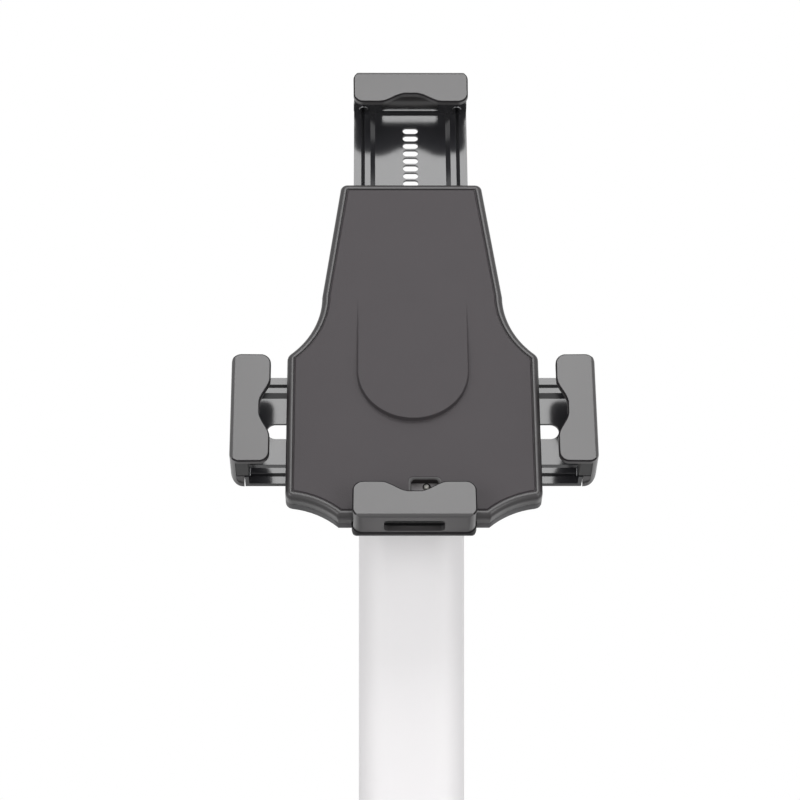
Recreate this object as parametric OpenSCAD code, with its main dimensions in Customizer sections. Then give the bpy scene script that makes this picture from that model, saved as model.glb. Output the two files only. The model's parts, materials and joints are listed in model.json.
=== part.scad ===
// Desk stand for a tablet. A weighted base carries an oval pole, and a hinge on the pole carries
// a holder that tilts, turns in its own plane, and opens its jaws to the size of the tablet.
// Millimetres, Z up. The origin is the centre of the underside, and the screen faces -Y.
// The holder is drawn in its own frame: x to the right, y up along its face, z out of the face.
// That frame starts on the turning axis, at the level of the body's front face.
// Each jaw is drawn in a frame that starts at the middle of its outer wall and has y pointing inwards.

/* [Base] */
// Width of the base plate
base_w = 180; // [150:1:240]
// Depth of the base plate
base_d = 220; // [200:1:280]
// Thickness of the base plate
base_t = 6; // [5:0.5:10]
// Corner radius of the base plate
base_r = 28; // [10:1:40]
// Thickness of the anti-slip mat under the plate
mat_t = 2; // [1:0.5:4]
// Distance of the mat's edge inside the plate's edge
mat_inset = 2; // [1:0.5:6]
// Diameter of the desk fixing holes
fix_hole_d = 6.5; // [5:0.5:8.5]
// Distance of the desk fixing holes, side to side
fix_x = 140; // [110:1:150]
// Distance of the desk fixing holes, front to back
fix_y = 180; // [150:1:190]

/* [Pole] */
// Width of the oval pole
pole_w = 57; // [52:1:64]
// Depth of the oval pole
pole_d = 32; // [28:1:33]
// Wall of the pole
pole_wall = 2.2; // [1.5:0.1:3]
// Radius of the screw channels inside the pole
channel_r = 4.5; // [4:0.1:5]
// Distance of the pole behind the middle of the base
pole_y = 40; // [20:1:60]
// Height of the collar round the foot of the pole
collar_h = 9; // [5:1:16]
// Wall of the collar
collar_t = 3; // [2:0.5:5]
// Thickness of the cap on the pole
cap_t = 6; // [5:0.5:8]
// Wall of the skirt that the cap puts round the pole
skirt_t = 1.4; // [1:0.1:2]
// Height of the cap's skirt
skirt_h = 8; // [4:1:14]

/* [Tilt hinge] */
// Height of the tilt hinge above the desk
hinge_z = 254; // [235:1:300]
// Angle of the holder from upright, at rest
tilt = 29; // [0:1:90]
// Distance from the hinge axis down to the cap
hinge_rise = 18; // [15:1:24]
// Diameter of the hinge bolt
hinge_d = 8; // [6:0.5:9]
// Width of the hinge block on the cap
block_w = 22; // [21:1:26]
// Radius of the hinge block's round top
block_r = 10; // [9:0.5:10.5]
// Thickness of the friction washers beside the block
washer_t = 1; // [0.6:0.2:1.6]
// Thickness of the knuckle's cheeks
cheek_t = 8; // [6:0.5:9]
// Radius of the cheeks' round ends
cheek_r = 11; // [10:0.5:12]
// Length of the covers over the ends of the hinge bolt
cover_l = 8.2; // [8:0.1:10]
// Wall of those covers
cover_t = 1.6; // [1.2:0.1:2]

/* [Swivel] */
// Reach of the knuckle from the hinge axis to its flange
knuckle_reach = 20.4; // [20:0.1:26]
// Radius of the knuckle's flange
flange_r = 23; // [22:0.5:24]
// Thickness of the knuckle's flange
flange_t = 6; // [4:0.5:8]
// Thickness of the friction ring between flange and disc
ring_t = 1; // [0.6:0.2:1.6]
// Radius of the friction ring
ring_r = 21; // [18:0.5:22]
// Radius of the swivel disc
disc_r = 30; // [29:0.5:34]
// Thickness of the swivel disc
disc_t = 3; // [2.5:0.5:4]
// Radius of the circle of the disc's screws
disc_screw_r = 25.5; // [24:0.5:26]
// Diameter of the swivel axle
axle_d = 10; // [8:0.5:10.5]
// Radius of the axle's head
axle_head_r = 9; // [8:0.5:9.5]
// Thickness of the axle's head
axle_head_t = 2.6; // [2:0.2:2.8]
// Depth of the hub on the back of the rear shell
hub_h = 6; // [5.5:0.5:8]

/* [Holder body] */
// Height of the body above the turning axis
body_up = 119; // [116:1:126]
// Length of the body below the turning axis
body_down = 83.9; // [82:0.1:88]
// Thickness of the body
body_t = 17.6; // [17:0.2:19]
// Depth of the front shell, from the face back to the seam
front_depth = 7.5; // [7.2:0.1:8]
// Half width of the body near its top
top_half = 38.6; // [38:0.1:42]
// Half width of the body at its neck
neck_half = 48; // [46:0.5:51]
// Height of the neck above the turning axis
neck_v = 47.5; // [44:0.5:52]
// Half width of the body at the side arms
wide_half = 66; // [65:0.2:66.6]
// Height of the shoulders above the turning axis
flare_v = 12.5; // [11:0.5:16]
// Radius of the shoulders' corners
shoulder_r = 5; // [3:0.5:7]
// Radius of the lower corners
corner_r = 4; // [3.6:0.1:6]
// Radius of the top corners
top_corner_r = 3.8; // [3.6:0.1:5]
// Radius of the hollow beside the bottom jaw
bite_r = 44; // [40:0.5:48]
// Distance of that hollow's centre from the middle
bite_u = 68; // [66:0.5:70]
// Distance of the lower corners' edge below the turning axis
bite_top = 72.7; // [71:0.1:74]
// Rounding of the face's outer edge
edge_r = 2.6; // [1:0.1:3]
// Width of the chamfer round the rear shell's back
chamfer_w = 3.2; // [1:0.1:3.3]
// Depth of that chamfer
chamfer_d = 4.6; // [2:0.1:6]
// Wall of the shells' sides
side_wall = 2.4; // [2:0.2:3]
// Thickness of the face
face_t = 2.5; // [2:0.1:3]
// Thickness of the rear shell's floor
floor_t = 2; // [1.6:0.1:2.4]

/* [Tongue and window] */
// Half width of the raised tongue on the face
tongue_half = 29; // [24:0.5:32]
// Height of the centre of the tongue's round end above the turning axis
tongue_v = 1; // [-4:0.5:6]
// Length of the tongue above that centre
tongue_l = 45; // [30:1:60]
// Rise of the tongue at its round end
tongue_rise = 2.4; // [1:0.2:3]
// Width of the window in the face
window_w = 16.5; // [14:0.5:18]
// Height of the window
window_h = 11.6; // [10:0.2:12]
// Distance of the window from the middle
window_u = 5.6; // [4:0.2:7]
// Distance of the window's centre below the turning axis
window_v = 67; // [66.8:0.1:67.6]
// Depth of the window
window_depth = 7; // [5:0.5:7.5]
// Diameter of the pin in the window
pin_d = 2.6; // [2:0.2:3]
// Diameter of the well round the pin
well_d = 4.3; // [4:0.1:4.6]

/* [Arms] */
// Half width of the arms
arm_half = 31.4; // [31:0.1:32]
// Thickness of the arms at their rims
arm_rim_t = 3; // [2.6:0.1:3.2]
// Thickness of the arms' floors
arm_floor_t = 1.5; // [1.2:0.1:1.8]
// Width of the arms' outer bands
band_w = 4.1; // [3.5:0.1:5]
// Width of the V groove inside each band
groove_w = 2; // [1.4:0.1:2.4]
// Width of the ridge inside each groove
ridge_w = 3.1; // [2:0.1:4]
// Width of the slope from the ridge to the floor
slope_w = 2.6; // [1:0.1:3]
// Length of the top arm, from the outside of its jaw
top_arm_l = 122; // [116:1:124]
// Length of the side arms, from the outside of their jaws
side_arm_l = 70.5; // [68:0.5:71]
// Distance of the side arms' middle below the turning axis
arm_v = 27.3; // [27:0.1:27.8]
// Height of the wall at an arm's end, above its back
end_wall_h = 10.3; // [10:0.1:11]
// Thickness of that wall
end_wall_t = 2; // [1.6:0.1:2.4]
// Height of that wall's sill under the port slot, above the arm's back
port_sill = 4; // [3:0.5:9]
// Width of the rounded slots in the top arm
ladder_w = 8.5; // [8.2:0.1:10]
// Height of those slots
ladder_h = 4.1; // [3.6:0.1:4.2]
// Pitch of those slots
ladder_pitch = 5; // [4.9:0.1:5.2]
// Number of those slots
ladder_n = 15; // [15:1:16]
// Distance of the first slot from the outside of the top jaw
ladder_first = 21.3; // [20:0.1:25]
// Width of the guide slot in each side arm
guide_w = 8.9; // [8.6:0.1:10]
// Distance of the guide slot from the outside of the jaw
guide_start = 18; // [16:0.5:18.5]
// Length of the guide slot
guide_l = 36.5; // [36:0.5:40]
// Distance of the guide posts from the middle
post_u = 52; // [51.5:0.1:52.5]

/* [Jaws] */
// Gap between the pads of the side jaws, at rest
gap_w = 170; // [168:0.5:174]
// Gap between the pads of the top and bottom jaws, at rest
gap_h = 256.3; // [250:0.1:262]
// How far the body reaches into the bottom jaw, past the face of its pads
bottom_reach = 2.9; // [1:0.1:3.6]
// Length of a jaw
jaw_l = 63.2; // [63:0.1:66]
// Depth of a jaw's lip, from the outside
lip_d = 20.4; // [18:0.1:24]
// Thickness of a jaw's lip and outer wall
jaw_t = 3; // [2.4:0.1:3.4]
// Distance of a pad's face from the outside of its jaw
pad_face = 9.4; // [9.2:0.1:10]
// Height of the lip's front above the body's face
lip_up = 13; // [12:0.5:18]
// Rounding of a jaw's front edge
lip_edge_r = 2; // [1:0.5:2.5]
// Rounding of a jaw's rear edge
rear_edge_r = 8; // [6:0.5:9]
// Radius of the lip's inner corners
lip_corner_r = 5.6; // [2:0.1:6.5]
// Radius of the jaw's outer corners
end_corner_r = 5; // [1:0.1:5.4]
// Length of the scallop in the lip
scallop_l = 34; // [24:1:36]
// Depth of the scallop
scallop_d = 5.4; // [3:0.2:7]
// Length of the port slot in the outer wall
port_l = 31; // [24:1:32]
// Height of the port slot
port_h = 11.5; // [8:0.5:12]
// Height of the port slot's middle above the body's face
port_up = 2.4; // [2:0.1:3]
// Length of each pad
pad_l = 13.5; // [10:0.5:13.5]
// Distance of the pads and webs from the ends of the jaw
pad_inset = 0.6; // [0.4:0.1:1]
// Thickness of the webs between a jaw's outer wall and its rear leg
web_t = 1.6; // [1.2:0.1:2]
// Notch between the rear leg and the arm or body that it faces
leg_notch = 0.5; // [0.3:0.1:0.8]
// Distance of the jaw screws from the middle of the jaw
jaw_screw_a = 26; // [25:0.5:26.5]
// Depth of the jaw screws below the body's face
jaw_screw_w = 9; // [8.8:0.1:9.4]

/* [Rack and pinion] */
// Tooth module of the pinion and racks
gear_m = 1; // [1]
// Number of teeth on the pinion
gear_n = 18; // [18]
// Play between the teeth, along the pitch line
backlash = 0.3; // [0.2:0.05:0.4]
// Thickness of the pinion
gear_t = 4; // [3:0.5:4.5]
// Width of the bar behind the racks' teeth
rack_back = 4; // [3:0.5:5]
// Length of the racks past the middle
rack_past = 12; // [11:0.5:13]
// Radius of the post that the pinion turns on
gear_post_r = 3; // [2.5:0.1:3.2]

/* [Lock] */
// Number of slots between the first one and the one at the lock bolt
lock_step = 13; // [13]
// Radius of the lock boss on the rear shell
lock_boss_r = 12; // [11.5:0.5:13]
// Length of the lock boss
lock_boss_h = 12; // [10:0.5:13]
// Radius of the lock barrel
barrel_r = 9; // [8.5:0.1:9.5]
// Radius of the trim rim on the lock barrel
barrel_rim_r = 11.2; // [10.5:0.1:11.4]
// Radius of the lock plunger
plunger_r = 6; // [5.5:0.1:6.5]
// Travel of the lock plunger
lock_travel = 3.6; // [3.4:0.1:3.8]
// Radius of the key plug
plug_r = 4; // [3.5:0.1:4.4]
// Length of the key plug
plug_l = 8.8; // [7:0.1:9]

/* [Fits and fasteners] */
// Radial clearance of turning fits
run_fit = 0.05; // [0.02:0.01:0.08]
// Clearance between sliding pieces
slide_gap = 0.3; // [0.25:0.05:0.35]
// Radial clearance of screws in their holes
screw_gap = 0.15; // [0.1:0.05:0.25]
// Shank diameter of the pole screws
pole_screw_d = 5; // [4:0.5:5]
// Length of the pole screws
pole_screw_l = 24; // [16:1:30]
// Shank diameter of the small screws
small_screw_d = 2.4; // [2:0.1:2.6]
// Head diameter of the small screws
small_head_d = 5.2; // [4.8:0.1:5.4]
// Height of the small screws' heads
small_head_t = 1.6; // [1.2:0.1:1.8]
// Height of the jaw screws' heads
jaw_head_t = 1; // [0.8:0.1:1.1]

/* [Hidden] */
$fn = 72;

// Small amount that a cut runs past the face that it opens
past = 1;

// Heights of the stand
plate_top = mat_t + base_t;
cap_top = hinge_z - hinge_rise;
pole_top = cap_top - cap_t;
channel_x = pole_w / 2 - pole_wall - channel_r + 1;
pole_screw_head_d = 2 * pole_screw_d;
pole_screw_head_t = pole_screw_d / 2;

// Sizes across the hinge, from the middle outwards
cheek_in = block_w / 2 + washer_t;
cheek_out = cheek_in + cheek_t;
hinge_r = hinge_d / 2;
hinge_head_r = 7;
hinge_head_t = 4.5;
hinge_nut_af = 13;
hinge_nut_t = 5;
hinge_washer_r = block_r - 0.5;

// Levels of the holder, from its face backwards
seam_w = -front_depth;
back_w = -body_t;
floor_w = back_w + floor_t;
hub_w = back_w - hub_h;
disc_w = hub_w - disc_t;
ring_w = disc_w - ring_t;
flange_w = ring_w - flange_t;
hinge_w = flange_w - knuckle_reach;
axle_r = axle_d / 2;
axle_nut_af = 16;
axle_nut_t = 5;
axle_washer_t = 1;
axle_end_w = flange_w - axle_washer_t - axle_nut_t - 1.4;
hub_pocket_r = axle_head_r + 1.3;
hub_pocket_d = axle_head_t + 0.8;
disc_screw_l = 7;

// Levels of the arms
arm_back_w = floor_w + slide_gap;
arm_floor_w = arm_back_w + arm_floor_t;
arm_rim_w = arm_back_w + arm_rim_t;
end_wall_b = pad_face - end_wall_t;

// Places of the jaws' outer walls
side_out = gap_w / 2 + pad_face;
bottom_out = body_down - bottom_reach + pad_face;
top_out = gap_h + 2 * pad_face - bottom_out;
bottom_leg_b = pad_face - bottom_reach;
arm_pad_w = arm_back_w + end_wall_h + slide_gap;

// The flare from the neck to the shoulders, and the hollow beside the bottom jaw
shoulder_a = 50;
flare_end_u = wide_half - shoulder_r * (1 - cos(shoulder_a));
flare_run = flare_end_u - neck_half;
flare_drop = neck_v - flare_v;
flare_r = (flare_run * flare_run + flare_drop * flare_drop) / (2 * flare_run);
flare_a = asin(flare_drop / flare_r);
bite_v = -bite_top - bite_r;
bite_start_a = 180 - asin((-body_down - bite_v) / bite_r);
corner_u = wide_half - corner_r;
bite_end_a = acos((corner_u - bite_u) / (bite_r + corner_r));
corner_v = bite_v + (bite_r + corner_r) * sin(bite_end_a);

// Screw posts that join the shells, as [u, v, radius]
top_posts = [top_half - 3.7, body_up - 17, 2.7];
shoulder_posts = [neck_half - 6, flare_v + 5.5, 3.4];
guide_posts = [post_u, -arm_v, 4.2];
foot_posts = [32, -body_down + 11, 3.4];
shell_posts = [top_posts, shoulder_posts, guide_posts, foot_posts];
small_r = small_screw_d / 2;
small_head_r = small_head_d / 2;
shell_screw_seat_w = back_w + small_head_t + 0.2;
shell_screw_tip_w = -face_t - 0.7;
guide_post_w = arm_floor_w + 4.8;

// Guides inside the shells
rib_t = 1.6;
rail_gap = slide_gap + 0.1;
rail_h = 6.6;

// Rack and pinion
pitch_r = gear_m * gear_n / 2;
tip_r = pitch_r + gear_m - 0.05;
root_r = pitch_r - 1.25 * gear_m;
pressure_a = 20;
base_circle_r = pitch_r * cos(pressure_a);
gear_pitch = PI * gear_m;
gear_w = arm_floor_w + 2 * slide_gap;
half_tooth = (gear_pitch - backlash) / 4;
rack_a = -pitch_r;
rack_end_b = side_out + rack_past;
rack_start_b = side_arm_l - 10;
gear_shoulder_r = gear_post_r + 1.6;

// Lock
lock_v = top_out - ladder_first - lock_step * ladder_pitch;
lock_end_w = back_w - lock_boss_h;
bolt_l = ladder_w - 0.7;
bolt_h = ladder_h - 0.7;
barrel_seat_w = back_w - 1.8;
barrel_rim_t = 1;
bolt_tip_w = arm_back_w - 0.4;
plunger_front_w = barrel_seat_w - lock_travel;
plunger_back_w = lock_end_w - barrel_rim_t - lock_travel;
keyway_w = 1.2;
keyway_h = 5;

plastic_black = [0.09, 0.09, 0.1];
face_grey = [0.27, 0.26, 0.27];
jaw_grey = [0.3, 0.3, 0.31];
rubber_black = [0.05, 0.05, 0.05];
pole_silver = [0.86, 0.86, 0.87];
plate_silver = [0.8, 0.8, 0.81];
steel = [0.6, 0.61, 0.62];
nylon = [0.82, 0.82, 0.78];

// Points along an arc, without the first one
function arc(c, r, from, to, n) =
    [for (i = [1:n]) let (a = from + (to - from) * i / n) c + r * [cos(a), sin(a)]];
function mirrored(p) = [for (i = [len(p) - 1:-1:0]) [-p[i][0], p[i][1]]];
function unit(v) = v / norm(v);
function left_of(v) = [-v[1], v[0]];

// A closed outline, given anticlockwise, moved inwards by d
function inset(p, d) =
    let (n = len(p))
    [for (i = [0:n - 1])
        let (before = left_of(unit(p[i] - p[(i + n - 1) % n])))
        let (after = left_of(unit(p[(i + 1) % n] - p[i])))
        p[i] + d * (before + after) / (1 + before * after)];

// Right half of the body's outline, from the bottom to the top
body_half = concat(
    [[bite_u + bite_r * cos(bite_start_a), -body_down]],
    arc([bite_u, bite_v], bite_r, bite_start_a, bite_end_a, 8),
    arc([corner_u, corner_v], corner_r, bite_end_a + 180, 360, 4),
    [[wide_half, flare_v - shoulder_r * sin(shoulder_a)]],
    arc([wide_half - shoulder_r, flare_v - shoulder_r * sin(shoulder_a)], shoulder_r, 0, shoulder_a, 3),
    arc([neck_half + flare_r, neck_v], flare_r, 180 + flare_a, 180, 9),
    [[top_half, body_up - top_corner_r]],
    arc([top_half - top_corner_r, body_up - top_corner_r], top_corner_r, 0, 90, 4));
body_outline = concat(body_half, mirrored(body_half));

// Outline of a jaw seen from the front: x along the jaw, y inwards
function ease(t) = t * t * (3 - 2 * t);
scallop_side = 0.42;
function scallop_share(t) = ease(min(1, min(t, 1 - t) / scallop_side));
scallop_n = 20;
scallop_points = [for (i = [0:scallop_n])
    let (t = i / scallop_n)
    [scallop_l * (0.5 - t), lip_d - scallop_d * scallop_share(t)]];
jaw_half = concat(
    [[jaw_l / 2 - end_corner_r, 0]],
    arc([jaw_l / 2 - end_corner_r, end_corner_r], end_corner_r, -90, 0, 8),
    arc([jaw_l / 2 - lip_corner_r, lip_d - lip_corner_r], lip_corner_r, 0, 90, 8));
jaw_outline = concat(jaw_half, scallop_points, mirrored(jaw_half));

function mirror_list(p) = [for (i = [len(p) - 1:-1:0]) p[i]];

// Outline of half a gear tooth's flank, as angles from the tooth's middle
function involute_a(r) =
    let (a = acos(min(1, base_circle_r / r)))
    tan(a) * 180 / PI - a;
function tooth_a(r) = half_tooth / pitch_r * 180 / PI + involute_a(pitch_r) - involute_a(r);
tooth_radii = [for (i = [0:5]) base_circle_r + (tip_r - base_circle_r) * i / 5];
function at_angle(r, a) = [r * cos(a), r * sin(a)];
function tooth(mid) = concat(
    [at_angle(root_r, mid - tooth_a(base_circle_r))],
    [for (r = tooth_radii) at_angle(r, mid - tooth_a(r))],
    [for (i = [5:-1:0]) at_angle(tooth_radii[i], mid + tooth_a(tooth_radii[i]))],
    [at_angle(root_r, mid + tooth_a(base_circle_r))]);
gear_outline = [for (i = [0:gear_n - 1]) each tooth(90 + 360 * i / gear_n)];

// Outline of a rack: x away from the pitch line, y along the rack, with a gap at side_out
rack_teeth = floor((rack_past - gear_m) / gear_pitch - 0.5);
rack_teeth_back = floor((side_out - rack_start_b - gear_m) / gear_pitch - 0.5);
flank = tan(pressure_a) * gear_m;
function rack_tooth(y) = [
    [-1.25 * gear_m, y - half_tooth - 1.25 * flank], [gear_m - 0.05, y - half_tooth + flank],
    [gear_m - 0.05, y + half_tooth - flank], [-1.25 * gear_m, y + half_tooth + 1.25 * flank]];
rack_outline = concat(
    [[-1.25 * gear_m - rack_back, rack_start_b], [-1.25 * gear_m, rack_start_b]],
    [for (i = [-rack_teeth_back - 1:rack_teeth]) each rack_tooth(side_out + (i + 0.5) * gear_pitch)],
    [[-1.25 * gear_m, rack_end_b], [-1.25 * gear_m - rack_back, rack_end_b]]);

// Frames
module at_head() {
    translate([0, pole_y, hinge_z]) rotate([90 - tilt, 0, 0]) translate([0, 0, -hinge_w]) children();
}
module at_top() {
    at_head() translate([0, top_out, 0]) rotate(180) children();
}
module at_bottom() {
    at_head() translate([0, -bottom_out, 0]) children();
}
module at_left() {
    at_head() translate([-side_out, -arm_v, 0]) rotate(-90) children();
}
module at_right() {
    at_head() translate([side_out, -arm_v, 0]) rotate(90) children();
}
module both_sides() {
    children();
    mirror([1, 0, 0]) children();
}

// Shapes that repeat
module round_rect(w, d, r) {
    square([w - 2 * r, d], center = true);
    square([w, d - 2 * r], center = true);
    for (x = [-1, 1], y = [-1, 1])
        translate([x * (w / 2 - r), y * (d / 2 - r)]) circle(r);
}
module oval(w, d) {
    square([w - d, d], center = true);
    for (x = [-1, 1])
        translate([x * (w - d) / 2, 0]) circle(d / 2);
}
module hexagon(across_flats) {
    circle(across_flats / sqrt(3), $fn = 6);
}
module flat_screw(d, l, head_d, head_t) {
    difference() {
        union() {
            translate([0, 0, -head_t]) cylinder(h = head_t, r1 = d / 2, r2 = head_d / 2);
            translate([0, 0, -l]) cylinder(h = l, r = d / 2);
        }
        translate([0, 0, -head_t * 0.7]) linear_extrude(head_t) hexagon(d * 0.6);
    }
}
// A flat screw's hole, opening upwards at z = 0
module flat_screw_hole(d, l, head_d, head_t) {
    translate([0, 0, -l]) cylinder(h = l + past, r = d / 2 + screw_gap);
    translate([0, 0, -head_t]) cylinder(h = head_t, r1 = d / 2 + screw_gap, r2 = head_d / 2 + screw_gap);
    cylinder(h = past, r = head_d / 2 + screw_gap);
}
// Rings of a rounded edge, as [depth below the top, inset]
function round_rings(r) = let (last_a = 84, steps = 4)
    [for (i = [0:steps]) let (a = last_a * i / steps) [r * (1 - sin(a)), r * (1 - cos(a))]];
// Rings of a chamfered edge
function chamfer_rings(w, d) = [[d, 0], [0.02, w]];
// A prism that stands on z = 0, with its upper edge shaped by rings. Its outline p is the same left and
// right, with the right half first. The rim's flat ends lie inside the two plain prisms, and its last
// ring goes lap into the upper one.
module soft_prism(p, h, rings, lap) {
    linear_extrude(h - rings[0][0]) polygon(p);
    linear_extrude(h) polygon(inset(p, rings[len(rings) - 1][1] - lap));
    rim(p, h, rings);
}
module rim(p, h, rings) {
    n = len(p);
    half = n / 2;
    levels = concat([[(h - rings[0][0]) / 2, 0]], [for (r = rings) [h - r[0], r[1]]]);
    points = [for (l = levels) each [for (q = inset(p, l[1])) [q[0], q[1], l[0]]]];
    last = len(levels) - 1;
    sides = [for (k = [0:last - 1], i = [0:n - 1])
        [k * n + i, k * n + (i + 1) % n, (k + 1) * n + (i + 1) % n, (k + 1) * n + i]];
    bottom = [for (i = [0:half - 2]) [n - 1 - i, n - 2 - i, i + 1, i]];
    top = [for (i = [0:half - 2]) [for (k = [i, i + 1, n - 2 - i, n - 1 - i]) last * n + k]];
    polyhedron(points = points, faces = [for (f = concat(sides, bottom, top)) mirror_list(f)], convexity = 6);
}

// Stand
module base_mat() {
    color(rubber_black)
    linear_extrude(mat_t) difference() {
        round_rect(base_w - 2 * mat_inset, base_d - 2 * mat_inset, base_r - mat_inset);
        fix_holes();
    }
}
module fix_holes() {
    for (x = [-1, 1], y = [-1, 1])
        translate([x * fix_x / 2, y * fix_y / 2]) circle(fix_hole_d / 2);
}
module base_plate() {
    color(plate_silver)
    difference() {
        translate([0, 0, mat_t]) linear_extrude(base_t) difference() {
            round_rect(base_w, base_d, base_r);
            fix_holes();
        }
        at_channels() translate([0, 0, mat_t]) mirror([0, 0, 1])
            flat_screw_hole(pole_screw_d, base_t + past, pole_screw_head_d, pole_screw_head_t);
    }
}
module at_channels() {
    for (x = [-1, 1])
        translate([x * channel_x, pole_y, 0]) children();
}
module pole_screws() {
    color(steel)
    at_channels() translate([0, 0, mat_t]) mirror([0, 0, 1])
        flat_screw(pole_screw_d, pole_screw_l, pole_screw_head_d, pole_screw_head_t);
}
module pole_collar() {
    color(plastic_black)
    translate([0, pole_y, plate_top]) linear_extrude(collar_h) difference() {
        oval(pole_w + 2 * collar_t, pole_d + 2 * collar_t);
        oval(pole_w + 2 * screw_gap, pole_d + 2 * screw_gap);
    }
}
module pole() {
    color(pole_silver)
    translate([0, pole_y, plate_top]) linear_extrude(pole_top - plate_top) difference() {
        union() {
            difference() {
                oval(pole_w, pole_d);
                oval(pole_w - 2 * pole_wall, pole_d - 2 * pole_wall);
            }
            for (x = [-1, 1])
                translate([x * channel_x, 0]) circle(channel_r);
        }
        for (x = [-1, 1])
            translate([x * channel_x, 0]) circle(pole_screw_d / 2 + screw_gap);
    }
}
module pole_cap() {
    color(plastic_black)
    difference() {
        translate([0, pole_y, 0]) union() {
            translate([0, 0, pole_top]) linear_extrude(cap_t)
                oval(pole_w + 2 * skirt_t, pole_d + 2 * skirt_t);
            translate([0, 0, pole_top - skirt_h]) linear_extrude(skirt_h) difference() {
                oval(pole_w + 2 * skirt_t, pole_d + 2 * skirt_t);
                oval(pole_w + 2 * screw_gap, pole_d + 2 * screw_gap);
            }
            translate([-block_w / 2, -block_r, cap_top - past])
                cube([block_w, 2 * block_r, hinge_rise + past]);
            translate([-block_w / 2, 0, hinge_z]) rotate([0, 90, 0]) cylinder(h = block_w, r = block_r);
        }
        at_hinge_axis(-block_w / 2 - past) cylinder(h = block_w + 2 * past, r = hinge_r + run_fit);
        at_channels() translate([0, 0, cap_top])
            flat_screw_hole(pole_screw_d, cap_t + past, pole_screw_head_d, pole_screw_head_t);
    }
}
module cap_screws() {
    color(steel)
    at_channels() translate([0, 0, cap_top])
        flat_screw(pole_screw_d, pole_screw_l, pole_screw_head_d, pole_screw_head_t);
}

// Tilt hinge
module at_hinge_axis(x) {
    translate([x, pole_y, hinge_z]) rotate([0, 90, 0]) children();
}
module hinge_bolt() {
    shank_end = cheek_out + hinge_nut_t + 1;
    color(steel)
    difference() {
        union() {
            at_hinge_axis(-shank_end) cylinder(h = shank_end + cheek_out, r = hinge_r);
            at_hinge_axis(cheek_out) cylinder(h = hinge_head_t, r = hinge_head_r);
        }
        at_hinge_axis(cheek_out + hinge_head_t / 3) linear_extrude(hinge_head_t) hexagon(hinge_r + 1);
    }
}
module hinge_nut() {
    color(steel)
    at_hinge_axis(-cheek_out - hinge_nut_t) linear_extrude(hinge_nut_t) difference() {
        hexagon(hinge_nut_af);
        circle(hinge_r + run_fit);
    }
}
module hinge_washers() {
    color(nylon)
    for (x = [-cheek_in, block_w / 2])
        at_hinge_axis(x) linear_extrude(washer_t) difference() {
            circle(hinge_washer_r);
            circle(hinge_r + screw_gap);
        }
}
module knuckle() {
    color(plastic_black)
    at_head() difference() {
        union() {
            translate([0, 0, flange_w]) cylinder(h = flange_t, r = flange_r);
            both_sides() translate([cheek_in, -cheek_r, hinge_w])
                cube([cheek_t, 2 * cheek_r, knuckle_reach + past]);
            both_sides() translate([cheek_in, 0, hinge_w]) rotate([0, 90, 0])
                cylinder(h = cheek_t, r = cheek_r);
        }
        translate([0, 0, flange_w - past]) cylinder(h = flange_t + 2 * past, r = axle_r + run_fit);
        translate([-cheek_out - past, 0, hinge_w]) rotate([0, 90, 0])
            cylinder(h = 2 * cheek_out + 2 * past, r = hinge_r + run_fit);
    }
}
module hinge_covers() {
    color(plastic_black)
    at_head() both_sides() translate([cheek_out, 0, hinge_w]) rotate([0, 90, 0]) difference() {
        cylinder(h = cover_l, r = cheek_r);
        translate([0, 0, -past]) cylinder(h = cover_l - cover_t + past, r = cheek_r - cover_t);
    }
}

// Swivel
module swivel_axle() {
    color(steel)
    at_head() {
        translate([0, 0, axle_end_w]) cylinder(h = hub_w - axle_end_w, r = axle_r);
        translate([0, 0, hub_w]) cylinder(h = axle_head_t, r = axle_head_r);
    }
}
module axle_washer() {
    color(steel)
    at_head() translate([0, 0, flange_w - axle_washer_t]) linear_extrude(axle_washer_t) difference() {
        circle(axle_head_r);
        circle(axle_r + screw_gap);
    }
}
module axle_nut() {
    color(steel)
    at_head() translate([0, 0, flange_w - axle_washer_t - axle_nut_t]) linear_extrude(axle_nut_t)
        difference() {
            hexagon(axle_nut_af);
            circle(axle_r + run_fit);
        }
}
module friction_ring() {
    color(nylon)
    at_head() translate([0, 0, ring_w]) linear_extrude(ring_t) difference() {
        circle(ring_r);
        circle(axle_r + screw_gap);
    }
}
module at_disc_screws() {
    for (a = [45:90:315])
        rotate(a) translate([disc_screw_r, 0, disc_w]) mirror([0, 0, 1]) children();
}
module swivel_disc() {
    color(steel)
    at_head() difference() {
        translate([0, 0, disc_w]) cylinder(h = disc_t, r = disc_r);
        translate([0, 0, disc_w - past]) cylinder(h = disc_t + 2 * past, r = axle_r + run_fit);
        at_disc_screws() flat_screw_hole(small_screw_d, disc_t + past, small_head_d, small_head_t);
    }
}
module disc_screws() {
    color(steel)
    at_head() at_disc_screws() flat_screw(small_screw_d, disc_screw_l, small_head_d, small_head_t);
}

// Body of the holder
module at_posts() {
    for (p = shell_posts, s = [-1, 1])
        translate([s * p[0], p[1], 0]) children();
}
// Cavity of a shell, from w1 up to w2, with walls of thickness wall
module cavity(w1, w2, wall) {
    translate([0, 0, w1]) linear_extrude(w2 - w1) polygon(inset(body_outline, wall));
}
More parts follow.
